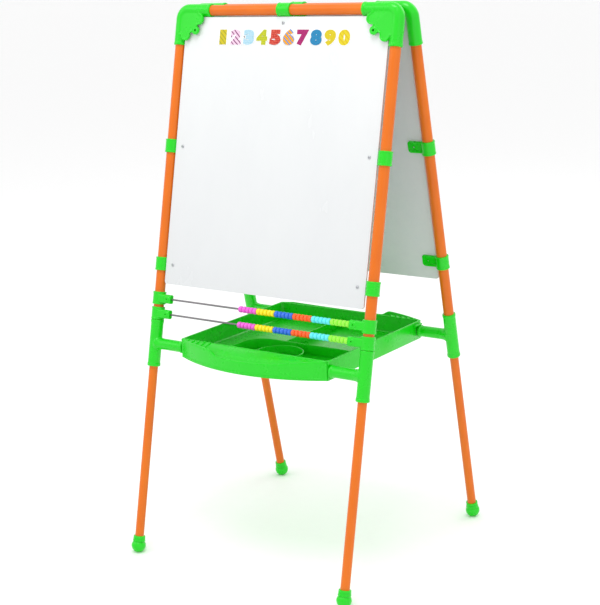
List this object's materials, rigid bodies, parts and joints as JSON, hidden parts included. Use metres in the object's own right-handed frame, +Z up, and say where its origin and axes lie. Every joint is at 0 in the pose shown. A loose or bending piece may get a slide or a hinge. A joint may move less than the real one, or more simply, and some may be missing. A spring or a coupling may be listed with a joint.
{
  "type": "children's easel",
  "caption": "Double-sided folding children's easel with telescoping legs, bead rods and a lift-up tray between the frames.",
  "frame": {"origin": "on the floor, in the middle between the four feet", "axes": "+Z up, the white board faces -Y, +X to the right seen from the front"},
  "size_m": [0.561, 0.5694, 1.1538],
  "materials": {
    "orange_paint": "glossy powder coat",
    "green_plastic": "glossy moulded plastic",
    "white_board": "glossy white laminate",
    "chalk_board": "matte chalk surface outside, pale inside",
    "screw_zinc": "zinc plated",
    "steel_rod": "bright drawn steel",
    "grey_plastic": "satin",
    "bead_lime": "glossy",
    "bead_aqua": "glossy",
    "bead_orange": "glossy",
    "bead_blue": "glossy",
    "bead_yellow": "glossy",
    "bead_pink": "glossy"
  },
  "bodies": {
    "front_frame": {"front_arms": "green_plastic", "front_board": "white_board", "front_board_screws": "screw_zinc", "front_corner_left": "green_plastic", "front_corner_right": "green_plastic", "front_side_clips": "green_plastic", "front_tee_left": "green_plastic", "front_tee_right": "green_plastic", "front_top_clip": "green_plastic", "front_top_tube": "orange_paint", "front_upper_leg_left": "orange_paint", "front_upper_leg_right": "orange_paint", "hinge_pins": "steel_rod", "lower_rod": "steel_rod", "rod_clips": "green_plastic", "tray_pins": "green_plastic", "upper_rod": "steel_rod"},
    "rear_frame": {"rear_arms": "green_plastic", "rear_board": "chalk_board", "rear_board_screws": "screw_zinc", "rear_corner_left": "green_plastic", "rear_corner_right": "green_plastic", "rear_side_clips": "green_plastic", "rear_tee_left": "green_plastic", "rear_tee_right": "green_plastic", "rear_top_clip": "green_plastic", "rear_top_tube": "orange_paint", "rear_upper_leg_left": "orange_paint", "rear_upper_leg_right": "orange_paint"},
    "tray": {"tray_basin": "green_plastic", "tray_cup_ring": "green_plastic", "tray_front_lip": "green_plastic", "tray_ledges": "green_plastic", "tray_rear_divider": "green_plastic", "tray_rear_lip": "green_plastic", "tray_well_divider": "green_plastic"},
    "front_leg_left": {"front_foot_left": "green_plastic", "front_leg_glide_left": "grey_plastic", "front_lower_leg_left": "orange_paint"},
    "front_leg_right": {"front_foot_right": "green_plastic", "front_leg_glide_right": "grey_plastic", "front_lower_leg_right": "orange_paint"},
    "lower_beads_aqua": {"lower_beads_aqua": "bead_aqua"},
    "lower_beads_blue": {"lower_beads_blue": "bead_blue"},
    "lower_beads_lime": {"lower_beads_lime": "bead_lime"},
    "lower_beads_orange": {"lower_beads_orange": "bead_orange"},
    "lower_beads_pink": {"lower_beads_pink": "bead_pink"},
    "lower_beads_yellow": {"lower_beads_yellow": "bead_yellow"},
    "rear_leg_left": {"rear_foot_left": "green_plastic", "rear_leg_glide_left": "grey_plastic", "rear_lower_leg_left": "orange_paint"},
    "rear_leg_right": {"rear_foot_right": "green_plastic", "rear_leg_glide_right": "grey_plastic", "rear_lower_leg_right": "orange_paint"},
    "upper_beads_aqua": {"upper_beads_aqua": "bead_aqua"},
    "upper_beads_blue": {"upper_beads_blue": "bead_blue"},
    "upper_beads_lime": {"upper_beads_lime": "bead_lime"},
    "upper_beads_orange": {"upper_beads_orange": "bead_orange"},
    "upper_beads_pink": {"upper_beads_pink": "bead_pink"},
    "upper_beads_yellow": {"upper_beads_yellow": "bead_yellow"}
  },
  "joints": [
    {"name": "frame_fold", "type": "hinge", "parent": "front_frame", "child": "rear_frame", "pos_m": [0, 0, 1.1398], "axis": [1, 0, 0], "range_deg": [-24.6, 0]},
    {"name": "tray_lift", "type": "hinge", "parent": "front_frame", "child": "tray", "pos_m": [0, -0.17476, 0.44657], "axis": [1, 0, 0], "range_deg": [0, 15]},
    {"name": "front_leg_left_slide", "type": "slide", "parent": "front_frame", "child": "front_leg_left", "axis": [0, 0.2136, 0.9769], "range_m": [0, 0.35]},
    {"name": "front_leg_right_slide", "type": "slide", "parent": "front_frame", "child": "front_leg_right", "axis": [0, 0.2136, 0.9769], "range_m": [0, 0.35]},
    {"name": "rear_leg_left_slide", "type": "slide", "parent": "rear_frame", "child": "rear_leg_left", "axis": [0, -0.2136, 0.9769], "range_m": [0, 0.35]},
    {"name": "rear_leg_right_slide", "type": "slide", "parent": "rear_frame", "child": "rear_leg_right", "axis": [0, -0.2136, 0.9769], "range_m": [0, 0.35]},
    {"name": "upper_lime_slide", "type": "slide", "parent": "front_frame", "child": "upper_beads_lime", "axis": [1, 0, 0], "range_m": [-0.0295, 0]},
    {"name": "upper_aqua_slide", "type": "slide", "parent": "upper_beads_lime", "child": "upper_beads_aqua", "axis": [1, 0, 0], "range_m": [-0.0295, 0]},
    {"name": "upper_orange_slide", "type": "slide", "parent": "upper_beads_aqua", "child": "upper_beads_orange", "axis": [1, 0, 0], "range_m": [-0.0295, 0]},
    {"name": "upper_blue_slide", "type": "slide", "parent": "upper_beads_orange", "child": "upper_beads_blue", "axis": [1, 0, 0], "range_m": [-0.0295, 0]},
    {"name": "upper_yellow_slide", "type": "slide", "parent": "upper_beads_blue", "child": "upper_beads_yellow", "axis": [1, 0, 0], "range_m": [-0.0295, 0]},
    {"name": "upper_pink_slide", "type": "slide", "parent": "upper_beads_yellow", "child": "upper_beads_pink", "axis": [1, 0, 0], "range_m": [-0.0295, 0]},
    {"name": "lower_lime_slide", "type": "slide", "parent": "front_frame", "child": "lower_beads_lime", "axis": [1, 0, 0], "range_m": [-0.0295, 0]},
    {"name": "lower_aqua_slide", "type": "slide", "parent": "lower_beads_lime", "child": "lower_beads_aqua", "axis": [1, 0, 0], "range_m": [-0.0295, 0]},
    {"name": "lower_orange_slide", "type": "slide", "parent": "lower_beads_aqua", "child": "lower_beads_orange", "axis": [1, 0, 0], "range_m": [-0.0295, 0]},
    {"name": "lower_blue_slide", "type": "slide", "parent": "lower_beads_orange", "child": "lower_beads_blue", "axis": [1, 0, 0], "range_m": [-0.0295, 0]},
    {"name": "lower_yellow_slide", "type": "slide", "parent": "lower_beads_blue", "child": "lower_beads_yellow", "axis": [1, 0, 0], "range_m": [-0.0295, 0]},
    {"name": "lower_pink_slide", "type": "slide", "parent": "lower_beads_yellow", "child": "lower_beads_pink", "axis": [1, 0, 0], "range_m": [-0.0295, 0]}
  ]
}
